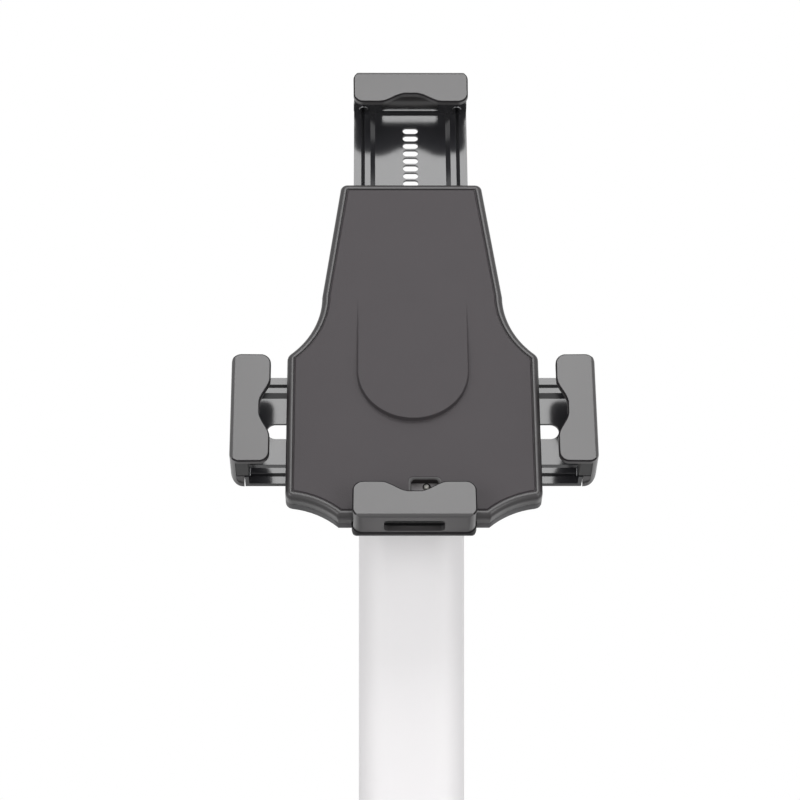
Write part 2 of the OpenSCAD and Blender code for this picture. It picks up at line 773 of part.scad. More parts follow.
// Space that an arm needs where it passes through a wall, in the jaw's frame
module arm_way(from_b, to_b) {
    translate([-arm_half - rail_gap, from_b, floor_w])
        cube([2 * (arm_half + rail_gap), to_b - from_b, arm_rim_w - floor_w + slide_gap]);
}
module rear_shell() {
    lock_bore_r = barrel_r + screw_gap;
    color(plastic_black)
    at_head() difference() {
        union() {
            difference() {
                translate([0, 0, seam_w]) mirror([0, 0, 1])
                    soft_prism(body_outline, body_t - front_depth, chamfer_rings(chamfer_w, chamfer_d), 0.1);
                cavity(back_w + chamfer_d, seam_w + past, side_wall);
                cavity(floor_w, back_w + chamfer_d + past, max(side_wall, chamfer_w));
            }
            translate([0, 0, hub_w]) cylinder(h = hub_h + past, r = disc_r);
            translate([0, lock_v, lock_end_w]) cylinder(h = lock_boss_h + past, r = lock_boss_r);
            for (p = shell_posts, s = [-1, 1])
                translate([s * p[0], p[1], floor_w - floor_t / 2])
                    cylinder(h = (p[0] == post_u ? guide_post_w : seam_w) - floor_w + floor_t / 2, r = p[2]);
            translate([0, -arm_v, floor_w - floor_t / 2]) {
                cylinder(h = gear_w - floor_w + floor_t / 2, r = gear_shoulder_r);
                cylinder(h = gear_w + gear_t + 1.6 - floor_w + floor_t / 2, r = gear_post_r);
            }
            both_sides() rails();
        }
        translate([0, top_out, 0]) rotate(180) arm_way(top_out - body_up - past, top_out - body_up + 6);
        for (s = [-1, 1])
            translate([s * side_out, -arm_v, 0]) rotate(s * 90)
                arm_way(side_out - wide_half - past, side_out - wide_half + 6);
        for (p = shell_posts, s = [-1, 1]) translate([s * p[0], p[1], 0]) {
            translate([0, 0, back_w - past]) cylinder(h = body_t, r = small_r + screw_gap);
            translate([0, 0, back_w - past])
                cylinder(h = shell_screw_seat_w - back_w + past, r = small_head_r + screw_gap);
        }
        translate([0, 0, hub_w - past]) cylinder(h = hub_pocket_d + past, r = hub_pocket_r);
        for (a = [45:90:315])
            rotate(a) translate([disc_screw_r, 0, hub_w - past])
                cylinder(h = disc_screw_l - disc_t + 0.6 + past, r = small_r + screw_gap);
        translate([0, lock_v, lock_end_w - past])
            cylinder(h = barrel_seat_w - lock_end_w + past, r = lock_bore_r);
        translate([-bolt_l / 2 - slide_gap, lock_v - bolt_h / 2 - slide_gap, barrel_seat_w - past])
            cube([bolt_l + 2 * slide_gap, bolt_h + 2 * slide_gap, floor_w - barrel_seat_w + 2 * past]);
        bottom_screw_holes();
    }
}
// Rails on the rear shell's floor that keep the arms straight, for one side
module rails() {
    top_len = body_up - side_wall - flare_v - 4;
    side_len = wide_half - 14;
    translate([arm_half + rail_gap, flare_v + 4, floor_w - floor_t / 2])
        cube([rib_t, top_len + 1, rail_h + floor_t / 2]);
    for (v = [-arm_v + arm_half + rail_gap, -arm_v - arm_half - rail_gap - rib_t])
        translate([12, v, floor_w - floor_t / 2]) cube([side_len, rib_t, rail_h + floor_t / 2]);
}
// Holes in the body's bottom wall for the screws of the bottom jaw
module bottom_screw_holes() {
    for (s = [-1, 1])
        translate([s * jaw_screw_a, -body_down - past, -jaw_screw_w]) rotate([-90, 0, 0])
            cylinder(h = side_wall + 2 * past, r = small_r + screw_gap);
}
module tongue() {
    intersection() {
        translate([0, tongue_v, -past]) linear_extrude(tongue_rise + 2 * past) union() {
            circle(tongue_half);
            translate([-tongue_half, 0]) square([2 * tongue_half, tongue_l]);
        }
        rotate([90, 0, 90]) linear_extrude(2 * tongue_half + 2, center = true)
            polygon([[tongue_v - tongue_half - 1, -past], [tongue_v + tongue_l, -past],
                [tongue_v + tongue_l, 0], [tongue_v - tongue_half, tongue_rise],
                [tongue_v - tongue_half - 1, tongue_rise]]);
    }
}
// Ribs under the face that keep the arms down, for one side
module ribs() {
    rib_h = -face_t - arm_rim_w - slide_gap;
    band_a = arm_half - band_w / 2 - rib_t / 2;
    translate([band_a, neck_v + 22, arm_rim_w + slide_gap])
        cube([rib_t, body_up - neck_v - 22 - side_wall - 1, rib_h + past]);
    for (v = [-arm_v + band_a, -arm_v - band_a - rib_t])
        translate([30, v, arm_rim_w + slide_gap]) cube([wide_half - side_wall - 31, rib_t, rib_h + past]);
}
module front_shell() {
    pocket_t = 1.2;
    window = [window_w, window_h];
    pin_v = -window_v + window_h / 2 - 2.3;
    color(face_grey)
    at_head() difference() {
        union() {
            difference() {
                translate([0, 0, seam_w])
                    soft_prism(body_outline, front_depth, round_rings(edge_r), 0.1 * edge_r);
                cavity(seam_w - past, -face_t, side_wall);
            }
            tongue();
            for (p = shell_posts, s = [-1, 1])
                translate([s * p[0], p[1], p[0] == post_u ? guide_post_w : seam_w])
                    cylinder(h = -face_t / 2 - (p[0] == post_u ? guide_post_w : seam_w), r = p[2]);
            both_sides() ribs();
            translate([window_u, -window_v, -window_depth - pocket_t]) linear_extrude(window_depth)
                square([window_w + 2 * pocket_t, window_h + 2 * pocket_t], center = true);
            translate([window_u + 1, pin_v, -window_depth - 3.4]) cylinder(h = 3, r = well_d / 2 + pocket_t);
        }
        translate([window_u, -window_v, -window_depth]) linear_extrude(window_depth + past)
            square(window, center = true);
        translate([window_u + 1, pin_v, -window_depth - 2.2]) cylinder(h = 3, r = well_d / 2);
        at_posts() translate([0, 0, arm_back_w])
            cylinder(h = shell_screw_tip_w - arm_back_w + 0.2, r = small_r + screw_gap);
    }
}
module stop_pin() {
    pin_v = -window_v + window_h / 2 - 2.3;
    color(steel)
    at_head() translate([window_u + 1, pin_v, -window_depth - 2.2]) {
        cylinder(h = 2.6, r = pin_d / 2);
        translate([0, 0, 2.6]) cylinder(h = 0.6, r1 = pin_d / 2, r2 = pin_d / 2 - 0.5);
    }
}
module shell_screws() {
    color(steel)
    at_head() at_posts() {
        translate([0, 0, back_w + 0.2]) cylinder(h = small_head_t, r = small_head_r);
        translate([0, 0, back_w + 0.2]) cylinder(h = shell_screw_tip_w - back_w - 0.2, r = small_r);
    }
}

// Lock
module lock_barrel() {
    color(steel)
    at_head() translate([0, lock_v, 0]) difference() {
        union() {
            translate([0, 0, lock_end_w]) cylinder(h = barrel_seat_w - lock_end_w, r = barrel_r);
            translate([0, 0, lock_end_w - barrel_rim_t]) cylinder(h = barrel_rim_t, r = barrel_rim_r);
        }
        translate([0, 0, lock_end_w - barrel_rim_t - past])
            cylinder(h = body_t + lock_boss_h, r = plunger_r + run_fit);
    }
}
module lock_plunger() {
    color(steel)
    at_head() translate([0, lock_v, 0]) difference() {
        union() {
            translate([0, 0, plunger_back_w])
                cylinder(h = plunger_front_w - plunger_back_w, r = plunger_r);
            translate([0, 0, plunger_front_w - past])
                linear_extrude(bolt_tip_w - plunger_front_w + past) oval(bolt_l, bolt_h);
        }
        translate([0, 0, plunger_back_w - past]) cylinder(h = plug_l + past, r = plug_r + run_fit);
    }
}
module lock_plug() {
    color([0.75, 0.75, 0.76])
    at_head() translate([0, lock_v, plunger_back_w]) difference() {
        cylinder(h = plug_l - 0.2, r = plug_r);
        translate([-keyway_w / 2, -keyway_h / 2, -past]) cube([keyway_w, keyway_h, plug_l - 2]);
    }
}

// Pinion
module pinion() {
    color(nylon)
    at_head() translate([0, -arm_v, gear_w]) linear_extrude(gear_t) difference() {
        polygon(gear_outline);
        circle(gear_post_r + run_fit);
    }
}
module pinion_clip() {
    color(steel)
    at_head() translate([0, -arm_v, gear_w + gear_t + 0.2]) linear_extrude(0.8) difference() {
        circle(gear_post_r + 2.2);
        circle(gear_post_r + run_fit);
    }
}

// Arms, drawn in their jaw's frame
module arm_section() {
    in1 = arm_half - band_w;
    in2 = in1 - groove_w;
    in3 = in2 - ridge_w;
    in4 = in3 - slope_w;
    half = [[arm_half, arm_back_w], [arm_half, arm_rim_w], [in1, arm_rim_w],
        [(in1 + in2) / 2, arm_floor_w], [in2, arm_rim_w], [in3, arm_rim_w], [in4, arm_floor_w]];
    polygon(concat(half, mirrored(half)));
}
module arm(length) {
    translate([0, length, 0]) rotate([90, 0, 0]) linear_extrude(length - end_wall_b) arm_section();
    difference() {
        translate([-arm_half, end_wall_b, arm_back_w]) cube([2 * arm_half, end_wall_t, end_wall_h]);
        translate([-port_l / 2, end_wall_b - past, arm_back_w + port_sill])
            cube([port_l, end_wall_t + 2 * past, end_wall_h]);
        jaw_screw_holes(end_wall_b - past, end_wall_t + 2 * past);
    }
}
module jaw_screw_holes(from_b, l) {
    for (s = [-1, 1])
        translate([s * jaw_screw_a, from_b, -jaw_screw_w]) rotate([-90, 0, 0])
            cylinder(h = l, r = small_r + screw_gap);
}
module top_arm() {
    color(plastic_black)
    at_top() difference() {
        arm(top_arm_l);
        for (i = [0:ladder_n - 1])
            translate([0, ladder_first + i * ladder_pitch, arm_back_w - past])
                linear_extrude(arm_rim_t + 2 * past) oval(ladder_w, ladder_h);
    }
}
module side_arm() {
    difference() {
        union() {
            arm(side_arm_l);
            translate([rack_a, 0, gear_w]) linear_extrude(gear_t) polygon(rack_outline);
            translate([rack_a - 1.25 * gear_m - rack_back, rack_start_b, arm_floor_w - arm_floor_t / 2])
                cube([rack_back, side_arm_l - rack_start_b, gear_w + gear_t - arm_floor_w]);
        }
        translate([0, guide_start + guide_l / 2, arm_back_w - past]) linear_extrude(arm_rim_t + 2 * past)
            rotate(90) oval(guide_l, guide_w);
    }
}
module left_arm() {
    color(plastic_black)
    at_left() side_arm();
}
module right_arm() {
    color(plastic_black)
    at_right() side_arm();
}

// Section of a jaw: x inwards, y out of the face, with its rear leg ending at leg_b
module jaw_section(leg_b) {
    bend_w = arm_back_w + rear_edge_r;
    translate([0, bend_w]) square([jaw_t, lip_up - lip_edge_r - bend_w]);
    translate([lip_edge_r, lip_up - jaw_t]) square([lip_d - lip_edge_r, jaw_t]);
    intersection() {
        translate([lip_edge_r, lip_up - lip_edge_r]) circle(lip_edge_r);
        translate([0, lip_up - lip_edge_r]) square(lip_edge_r);
    }
    intersection() {
        translate([rear_edge_r, bend_w]) difference() {
            circle(rear_edge_r);
            circle(rear_edge_r - jaw_t);
        }
        translate([0, arm_back_w]) square([min(leg_b, rear_edge_r), rear_edge_r]);
    }
    if (leg_b > rear_edge_r)
        translate([rear_edge_r, arm_back_w]) square([leg_b - rear_edge_r, jaw_t]);
}
// Section of a jaw's end web, which fills its rear corner as far as leg_b
module web_section(leg_b) {
    intersection() {
        translate([rear_edge_r, arm_back_w + rear_edge_r]) circle(rear_edge_r - jaw_t / 2);
        translate([0, arm_back_w]) square([leg_b, end_wall_h]);
    }
}
// Jaws, with screw bosses that end at leg_b and rear legs that end a notch before it
module jaw(leg_b) {
    difference() {
        union() {
            intersection() {
                rotate([90, 0, 90]) union() {
                    linear_extrude(jaw_l, center = true) jaw_section(leg_b - leg_notch);
                    for (s = [-1, 1])
                        translate([0, 0, s * (jaw_l / 2 - pad_inset - web_t / 2)])
                            linear_extrude(web_t, center = true) web_section(leg_b - leg_notch);
                }
                translate([0, 0, arm_back_w - past]) linear_extrude(lip_up - arm_back_w + 2 * past)
                    polygon(jaw_outline);
            }
            for (s = [-1, 1])
                translate([s * jaw_screw_a, jaw_t - 0.4, -jaw_screw_w]) rotate([-90, 0, 0])
                    cylinder(h = leg_b - jaw_t + 0.4, r = 3.2);
        }
        translate([0, jaw_t + past, port_up]) rotate([90, 0, 0]) linear_extrude(jaw_t + 2 * past)
            round_rect(port_l, port_h, 2.5);
        jaw_screw_holes(1.4, leg_b);
    }
}
// Pads of a jaw, from the level low up to the lip
module pads(low) {
    high = lip_up - jaw_t;
    for (s = [-1, 1])
        translate([s * (jaw_l / 2 - pad_inset - pad_l / 2), jaw_t, (low + high) / 2]) rotate([-90, 0, 0])
            linear_extrude(pad_face - jaw_t) round_rect(pad_l, high - low, 1);
}
// Screws with their heads' seats at seat_b
module jaw_screws(seat_b) {
    for (s = [-1, 1])
        translate([s * jaw_screw_a, 0, -jaw_screw_w]) {
            translate([0, 2, 0]) rotate([-90, 0, 0]) cylinder(h = seat_b - 2, r = small_r);
            translate([0, seat_b, 0]) rotate([-90, 0, 0]) cylinder(h = jaw_head_t, r = small_head_r);
        }
}
module top_jaw() {
    color(jaw_grey)
    at_top() jaw(end_wall_b);
}
module left_jaw() {
    color(jaw_grey)
    at_left() jaw(end_wall_b);
}
module right_jaw() {
    color(jaw_grey)
    at_right() jaw(end_wall_b);
}
module bottom_jaw() {
    color(jaw_grey)
    at_bottom() jaw(bottom_leg_b);
}
module top_pads() {
    color(rubber_black)
    at_top() pads(arm_pad_w);
}
module left_pads() {
    color(rubber_black)
    at_left() pads(arm_pad_w);
}
module right_pads() {
    color(rubber_black)
    at_right() pads(arm_pad_w);
}
module bottom_pads() {
    color(rubber_black)
    at_bottom() pads(slide_gap);
}
module top_jaw_screws() {
    color(steel)
    at_top() jaw_screws(pad_face);
}
module left_jaw_screws() {
    color(steel)
    at_left() jaw_screws(pad_face);
}
module right_jaw_screws() {
    color(steel)
    at_right() jaw_screws(pad_face);
}
module bottom_jaw_screws() {
    color(steel)
    at_bottom() jaw_screws(bottom_leg_b + side_wall);
}

base_mat();
base_plate();
pole_screws();
pole_collar();
pole();
pole_cap();
cap_screws();
hinge_bolt();
hinge_nut();
hinge_washers();
knuckle();
hinge_covers();
swivel_axle();
axle_washer();
axle_nut();
friction_ring();
swivel_disc();
disc_screws();
rear_shell();
front_shell();
shell_screws();
stop_pin();
lock_barrel();
lock_plunger();
lock_plug();
pinion();
pinion_clip();
top_arm();
top_jaw();
top_pads();
top_jaw_screws();
left_arm();
left_jaw();
left_pads();
left_jaw_screws();
right_arm();
right_jaw();
right_pads();
right_jaw_screws();
bottom_jaw();
bottom_pads();
bottom_jaw_screws();
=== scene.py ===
import json
import math

import bmesh
import bpy
from mathutils import Matrix, Vector


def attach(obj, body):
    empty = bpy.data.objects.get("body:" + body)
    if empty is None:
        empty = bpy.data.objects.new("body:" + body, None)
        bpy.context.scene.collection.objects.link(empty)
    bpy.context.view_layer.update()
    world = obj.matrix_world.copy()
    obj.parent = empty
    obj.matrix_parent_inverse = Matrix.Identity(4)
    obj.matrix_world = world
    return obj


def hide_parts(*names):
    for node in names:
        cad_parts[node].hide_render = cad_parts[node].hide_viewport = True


bl_info = {
    "name": "Tablet Desk Stand",
    "version": (1, 0, 0),
    "blender": (4, 5, 0),
    "location": "View3D > Sidebar > Stand",
    "description": "Dresses the packed tablet stand: mouldings, finishes, studio and camera",
    "category": "Object",
}

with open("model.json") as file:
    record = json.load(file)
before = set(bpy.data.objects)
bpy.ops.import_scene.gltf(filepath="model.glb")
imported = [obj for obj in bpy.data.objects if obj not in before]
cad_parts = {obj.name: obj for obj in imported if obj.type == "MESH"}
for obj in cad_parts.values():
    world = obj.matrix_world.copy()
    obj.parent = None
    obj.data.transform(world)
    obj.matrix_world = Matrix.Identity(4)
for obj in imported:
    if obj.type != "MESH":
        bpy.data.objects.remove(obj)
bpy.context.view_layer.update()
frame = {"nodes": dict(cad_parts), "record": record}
BODIES = frame["record"]["behaviour"]["bodies"]
BODY_OF = {node: body for body, nodes in BODIES.items() for node in nodes}
JOINTS = {joint["name"]: joint for joint in frame["record"]["behaviour"]["joints"]}
MM = 0.001

# Edges that fold more than FOLD degrees are rounded, and faces that fold less than FLAT become one
FOLD = 35
FLAT = 0.6

# Points nearer than this are one point: in the CAD's metres, and in the holder's millimetres
SAME_POINT = 1e-6
SAME_POINT_MM = 1e-4

# Numbers of the finishes within the face moulding, where the pocket's finish is painted light, and of the
# jaw's lip edge, whose dark finish is painted shade
GRAIN, RIM, POCKET_PAINTED_LIGHT = range(3)
PAINTED_SHADE_EDGE = 1

# The camera fitted to the photo: place in metres, turn in degrees, lens and sensor in millimetres
CAMERA_PLACE = (-0.0239, -1.4000, 0.2661)
CAMERA_TURN = -0.703
CAMERA_LENS = 119.58
CAMERA_SENSOR = 36

# Each lamp's name, its place, aim and size in metres, and its power in watts
LAMPS = (
    ("softbox", (0.06, -0.78, 1.5), (0, 0, 0.3), (0.75, 0.95), 12),
    ("front_left", (-1.6, -1.9, 0.45), (0, 0, 0.2), (1.0, 1.4), 19),
    ("front_right", (1.6, -1.9, 0.45), (0, 0, 0.2), (1.0, 1.4), 19),
)

# How strongly the white surroundings light the stand
AIR_STRENGTH = 0.42

# The floor's drop under the mat, its reach each way, and the radii where it fades to white, in metres
FLOOR_DROP = 0.0002
FLOOR_REACH = 6
FLOOR_FADE = (0.2, 0.36)

# The holder's own frame: x to the right, y up along its face, z out of the face, in millimetres
OUT = Vector(JOINTS["turn"]["axis"]).normalized()
ACROSS = Vector((1, 0, 0))
UP = OUT.cross(ACROSS)
HOLDER = Matrix.Translation(Vector(JOINTS["turn"]["pos_m"])) @ (
    Matrix((ACROSS, UP, OUT)).transposed().to_4x4() @ Matrix.Scale(MM, 4)
)


class StandSizes(bpy.types.PropertyGroup):
    """Sizes of the stand's edges, its face moulding and its jaws"""
    edge_soft: bpy.props.FloatProperty(
        name="Edge softness", description="Rounding of the small mouldings' edges",
        default=0.35 * MM, unit="LENGTH", subtype="DISTANCE")
    plate_soft: bpy.props.FloatProperty(
        name="Plate edge", description="Rounding of the base plate's edges",
        default=0.9 * MM, unit="LENGTH", subtype="DISTANCE")
    gloss_soft: bpy.props.FloatProperty(
        name="Gloss edge", description="Rounding of the edges of the gloss arms and the lock",
        default=0.21 * MM, unit="LENGTH", subtype="DISTANCE")
    screw_soft: bpy.props.FloatProperty(
        name="Screw edge", description="Rounding of the jaw screws' heads",
        default=0.595 * MM, unit="LENGTH", subtype="DISTANCE")
    face_edge: bpy.props.FloatProperty(
        name="Face edge", description="Rounding of the face's outer edge, in millimetres", default=2.6)
    bead_width: bpy.props.FloatProperty(
        name="Bead width", description="Width of the smooth bead inside the face's edge, in millimetres",
        default=0.65)
    groove_width: bpy.props.FloatProperty(
        name="Groove width", description="Width of the groove inside the bead, in millimetres", default=1.2)
    groove_depth: bpy.props.FloatProperty(
        name="Groove depth", description="Depth of that groove, in millimetres", default=0.8)
    face_depth: bpy.props.FloatProperty(
        name="Face depth", description="Depth from the face to the seam, in millimetres", default=7.5)
    tongue_half: bpy.props.FloatProperty(
        name="Tongue half width", description="Half the width of the raised tongue, in millimetres",
        default=29.0)
    tongue_v: bpy.props.FloatProperty(
        name="Tongue centre", description="Centre of the tongue's round end, in millimetres", default=1.0)
    tongue_l: bpy.props.FloatProperty(
        name="Tongue length", description="Length of the tongue above that centre, in millimetres",
        default=45.0)
    tongue_rise: bpy.props.FloatProperty(
        name="Tongue rise", description="Rise of the tongue at its round end, in millimetres", default=2.4)
    dish_depth: bpy.props.FloatProperty(
        name="Dish depth", description="Depth of the hollow round the tongue, in millimetres", default=0.7)
    dish_reach: bpy.props.FloatProperty(
        name="Dish reach", description="How far the hollow reaches from the tongue, in millimetres",
        default=13.0)
    window_w: bpy.props.FloatProperty(
        name="Window width", description="Width of the window in the face, in millimetres", default=16.5)
    window_h: bpy.props.FloatProperty(
        name="Window height", description="Height of the window, in millimetres", default=11.6)
    window_u: bpy.props.FloatProperty(
        name="Window side", description="Distance of the window from the middle, in millimetres",
        default=5.6)
    window_v: bpy.props.FloatProperty(
        name="Window level", description="Height of the window over the turning axis, in millimetres",
        default=-67.0)
    window_corner: bpy.props.FloatProperty(
        name="Window corners", description="Radius of the window's corners, in millimetres", default=2.3)
    window_depth: bpy.props.FloatProperty(
        name="Window depth", description="Depth of the window's pocket, in millimetres", default=7.0)
    well_r: bpy.props.FloatProperty(
        name="Well radius", description="Radius of the well round the pin, in millimetres", default=2.15)
    well_depth: bpy.props.FloatProperty(
        name="Well depth", description="Depth of that well under the pocket's floor, in millimetres",
        default=2.0)
    lip_edge: bpy.props.FloatProperty(
        name="Lip edge", description="Rounding of the jaws' lips, in millimetres", default=0.7)
    strip_w: bpy.props.FloatProperty(
        name="Strip level", description="Upper level of the bottom jaw's rear strip, in millimetres",
        default=-4.9)
    strip_rise: bpy.props.FloatProperty(
        name="Strip rise", description="Rise of that strip over the jaw, in millimetres", default=0.35)


class StandColours(bpy.types.PropertyGroup):
    """Colours of the stand's finishes and of the studio floor"""
    face: bpy.props.FloatVectorProperty(
        name="Face", description="Grained front moulding", subtype="COLOR",
        default=(0.044, 0.039, 0.042))
    rim: bpy.props.FloatVectorProperty(
        name="Rim", description="Smooth rim of the front moulding", subtype="COLOR",
        default=(0.026, 0.024, 0.025))
    shell: bpy.props.FloatVectorProperty(
        name="Shell", description="Rear shell, knuckle and cap", subtype="COLOR",
        default=(0.03, 0.029, 0.031))
    jaw: bpy.props.FloatVectorProperty(
        name="Jaw", description="Satin jaws", subtype="COLOR", default=(0.05, 0.048, 0.049))
    # Painted shade: this dark colour on the jaws' rounded lip edges and the bottom jaw's rear strip stands
    # in for the shade and dark reflections along those edges
    jaw_edge: bpy.props.FloatVectorProperty(
        name="Jaw edge", description="Dark rounded lips and rear strip of the jaws", subtype="COLOR",
        default=(0.012, 0.011, 0.012))
    # Painted light: this pale grey, far lighter than the moulding, makes the shaded pocket floor show as
    # lit
    pocket: bpy.props.FloatVectorProperty(
        name="Pocket", description="Floor of the window's pocket", subtype="COLOR",
        default=(0.42, 0.4, 0.41))
    arm: bpy.props.FloatVectorProperty(
        name="Arm", description="Gloss arms", subtype="COLOR", default=(0.018, 0.018, 0.02))
    pad: bpy.props.FloatVectorProperty(
        name="Pad", description="Rubber pads", subtype="COLOR", default=(0.035, 0.035, 0.036))
    pole: bpy.props.FloatVectorProperty(
        name="Pole", description="Satin pole", subtype="COLOR", default=(0.86, 0.845, 0.852))
    plate: bpy.props.FloatVectorProperty(
        name="Plate", description="Coated base plate", subtype="COLOR", default=(0.74, 0.735, 0.74))
    steel: bpy.props.FloatVectorProperty(
        name="Steel", description="Screws, nuts and axle", subtype="COLOR", default=(0.58, 0.58, 0.59))
    screw: bpy.props.FloatVectorProperty(
        name="Black screw", description="Blackened screws of the jaws and the rear shell", subtype="COLOR",
        default=(0.16, 0.16, 0.165))
    chrome: bpy.props.FloatVectorProperty(
        name="Chrome", description="Lock", subtype="COLOR", default=(0.78, 0.78, 0.8))
    # The stop pin's share of this pale colour is painted light, standing in for its highlight in the pocket
    nylon: bpy.props.FloatVectorProperty(
        name="Nylon", description="Washers, ring, pinion and stop pin", subtype="COLOR",
        default=(0.78, 0.77, 0.72))
    floor: bpy.props.FloatVectorProperty(
        name="Floor", description="Studio floor", subtype="COLOR", default=(0.82, 0.82, 0.82))


class Shade:
    """A number in a material's node tree, so that shader maths reads as Python."""

    def __init__(self, finish, socket):
        self.finish, self.socket = finish, socket

    def _math(self, operation, first, second):
        return self.finish.node("ShaderNodeMath", {"operation": operation}, {0: first, 1: second})

    def __add__(self, other):
        return self._math("ADD", self, other)

    def __radd__(self, other):
        return self._math("ADD", other, self)

    def __mul__(self, other):
        return self._math("MULTIPLY", self, other)

    def __rmul__(self, other):
        return self._math("MULTIPLY", other, self)


class Finish:
    """A procedural material with one main shader, whose plain values stay on that shader's own sockets."""

    def __init__(self, name, colour, roughness, **plain):
        self.material = bpy.data.materials.new(name)
        self.material.use_nodes = True
        self.tree = self.material.node_tree
        self.shader = self.tree.nodes["Principled BSDF"]
        self.colour = (*colour, 1)
        self.shader.inputs["Base Color"].default_value = self.colour
        self.shader.inputs["Roughness"].default_value = roughness
        for socket, value in plain.items():
            self.shader.inputs[socket.replace("_", " ")].default_value = value
        self.place = self.node("ShaderNodeTexCoord", {}, {}, "Object")

    def node(self, kind, settings, sockets, output=0):
        """Adds a node with its settings and the values or links of its sockets, and returns an output."""
        made = self.tree.nodes.new(kind)
        for key, value in settings.items():
            setattr(made, key, value)
        for key, value in sockets.items():
            if isinstance(value, Shade):
                self.tree.links.new(value.socket, made.inputs[key])
            else:
                made.inputs[key].default_value = value
        return Shade(self, made.outputs[output])

    def noise(self, size, detail, roughness=0.5, stretch=None):
        """A noise whose features are about size metres across."""
        place = self.place
        if stretch:
            place = self.node("ShaderNodeMapping", {}, {"Vector": place, "Scale": stretch})
        return self.node("ShaderNodeTexNoise", {}, {
            "Vector": place, "Scale": 1 / size, "Detail": detail, "Roughness": roughness})

    def tint(self, factor, lighter):
        """Base colour between its own value and that value times lighter, by factor."""
        other = tuple(min(1, c * lighter) for c in self.colour[:3]) + (1,)
        mixed = self.node("ShaderNodeMix", {"data_type": "RGBA"}, {
            "Factor": factor, 6: self.colour, 7: other}, 2)
        self.feed("Base Color", mixed)

    def bump(self, height, depth, strength):
        """Raises the surface by height, over a depth in metres."""
        self.feed("Normal", self.node("ShaderNodeBump", {}, {
            "Height": height, "Distance": depth, "Strength": strength}))

    def feed(self, socket, shade):
        """Links what changes over the surface to a socket of the main shader."""
        self.tree.links.new(shade.socket, self.shader.inputs[socket])


def grained_plastic(name, colour, roughness, grain, depth, cloud=1.12, **plain):
    """Moulded plastic with faint clouding and a fine grain, whose width and depth are in metres."""
    f = Finish(name, colour, roughness, **plain)
    fine = f.noise(grain, detail=3.0, roughness=0.6)
    f.tint(f.noise(0.022, detail=2.0) * 0.7 + fine * 0.3, lighter=cloud)
    f.feed("Roughness", roughness - 0.05 + fine * 0.1)
    f.bump(fine, depth, strength=0.7)
    return f.material


def gloss_plastic(name, colour):
    """Polished plastic with the slightest waviness from the mould."""
    f = Finish(name, colour, 0.14, Specular_IOR_Level=0.66)
    f.feed("Roughness", 0.11 + f.noise(0.004, detail=3.0) * 0.06)
    f.tint(f.noise(0.03, detail=1.0), lighter=1.2)
    f.bump(f.noise(0.009, detail=1.0), depth=0.00004, strength=0.5)
    return f.material


def rubber(name, colour):
    """Soft matt rubber with a dusty grain."""
    f = Finish(name, colour, 0.8, Specular_IOR_Level=0.3)
    fine = f.noise(0.0005, detail=4.0, roughness=0.7)
    f.tint(fine, lighter=1.5)
    f.bump(fine, depth=0.00006, strength=0.8)
    return f.material


def coated_metal(name, colour, roughness, grain):
    """Metal under a satin coat, with the coat's fine orange peel."""
    f = Finish(name, colour, roughness, Coat_Roughness=0.3)
    peel = f.noise(grain, detail=2.0)
    f.tint(f.noise(0.05, detail=2.0), lighter=1.03)
    f.feed("Roughness", roughness - 0.03 + peel * 0.06)
    f.bump(peel, depth=0.00002, strength=0.6)
    return f.material


def drawn_metal(name, colour, roughness, stretch=None):
    """Bare metal with fine lines along the way it was drawn or turned."""
    f = Finish(name, colour, roughness, Metallic=1.0)
    lines = f.noise(0.0012, detail=3.0, roughness=0.6, stretch=stretch)
    f.tint(lines, lighter=1.25)
    f.feed("Roughness", roughness - 0.06 + lines * 0.12)
    f.bump(lines, depth=0.00001, strength=0.6)
    return f.material


def finishes():
    """Every finish of the stand, made once and kept by name."""
    known = bpy.data.materials
    if "face_grain" not in known:
        c = bpy.context.scene.stand_colours
        grained_plastic("face_grain", c.face, 0.6, grain=0.0007, depth=0.00008, Specular_IOR_Level=0.3)
        grained_plastic("rim_satin", c.rim, 0.34, grain=0.0005, depth=0.00001)
        grained_plastic("shell_grain", c.shell, 0.5, grain=0.0008, depth=0.00006, cloud=1.4)
        grained_plastic("jaw_satin", c.jaw, 0.3, grain=0.0005, depth=0.00001)
        # Painted shade: a near-black, barely reflecting finish for the lip edges and the rear strip
        grained_plastic("jaw_edge", c.jaw_edge, 0.5, grain=0.0005, depth=0.00001, Specular_IOR_Level=0.08)
        # Painted light: the pale pocket floor stands in for light falling into the shaded pocket
        grained_plastic("pocket_grey", c.pocket, 0.5, grain=0.0007, depth=0.00003)
        gloss_plastic("arm_gloss", c.arm)
        rubber("pad_rubber", c.pad)
        rubber("mat_rubber", c.pad)
        coated_metal("pole_satin", c.pole, 0.5, grain=0.0018)
        coated_metal("plate_coat", c.plate, 0.45, grain=0.0012)
        drawn_metal("screw_steel", c.steel, 0.3)
        drawn_metal("screw_black", c.screw, 0.22)
        drawn_metal("lock_chrome", c.chrome, 0.16, stretch=(1, 1, 0.1))
        grained_plastic("nylon", c.nylon, 0.45, grain=0.001, depth=0.00002, cloud=1.05)
    return known


def paint(node, finish):
    """Gives a CAD node that stays as it is its finish."""
    shown = frame["nodes"][node].data
    shown.materials.clear()
    shown.materials.append(finishes()[finish])


def piece_of(bm, name, *used):
    """A new object made of bm, with the finishes used."""
    mesh = bpy.data.meshes.new(name)
    bm.to_mesh(mesh)
    bm.free()
    piece = bpy.data.objects.new(name, mesh)
    bpy.context.scene.collection.objects.link(piece)
    for finish in used:
        mesh.materials.append(finishes()[finish])
    return piece


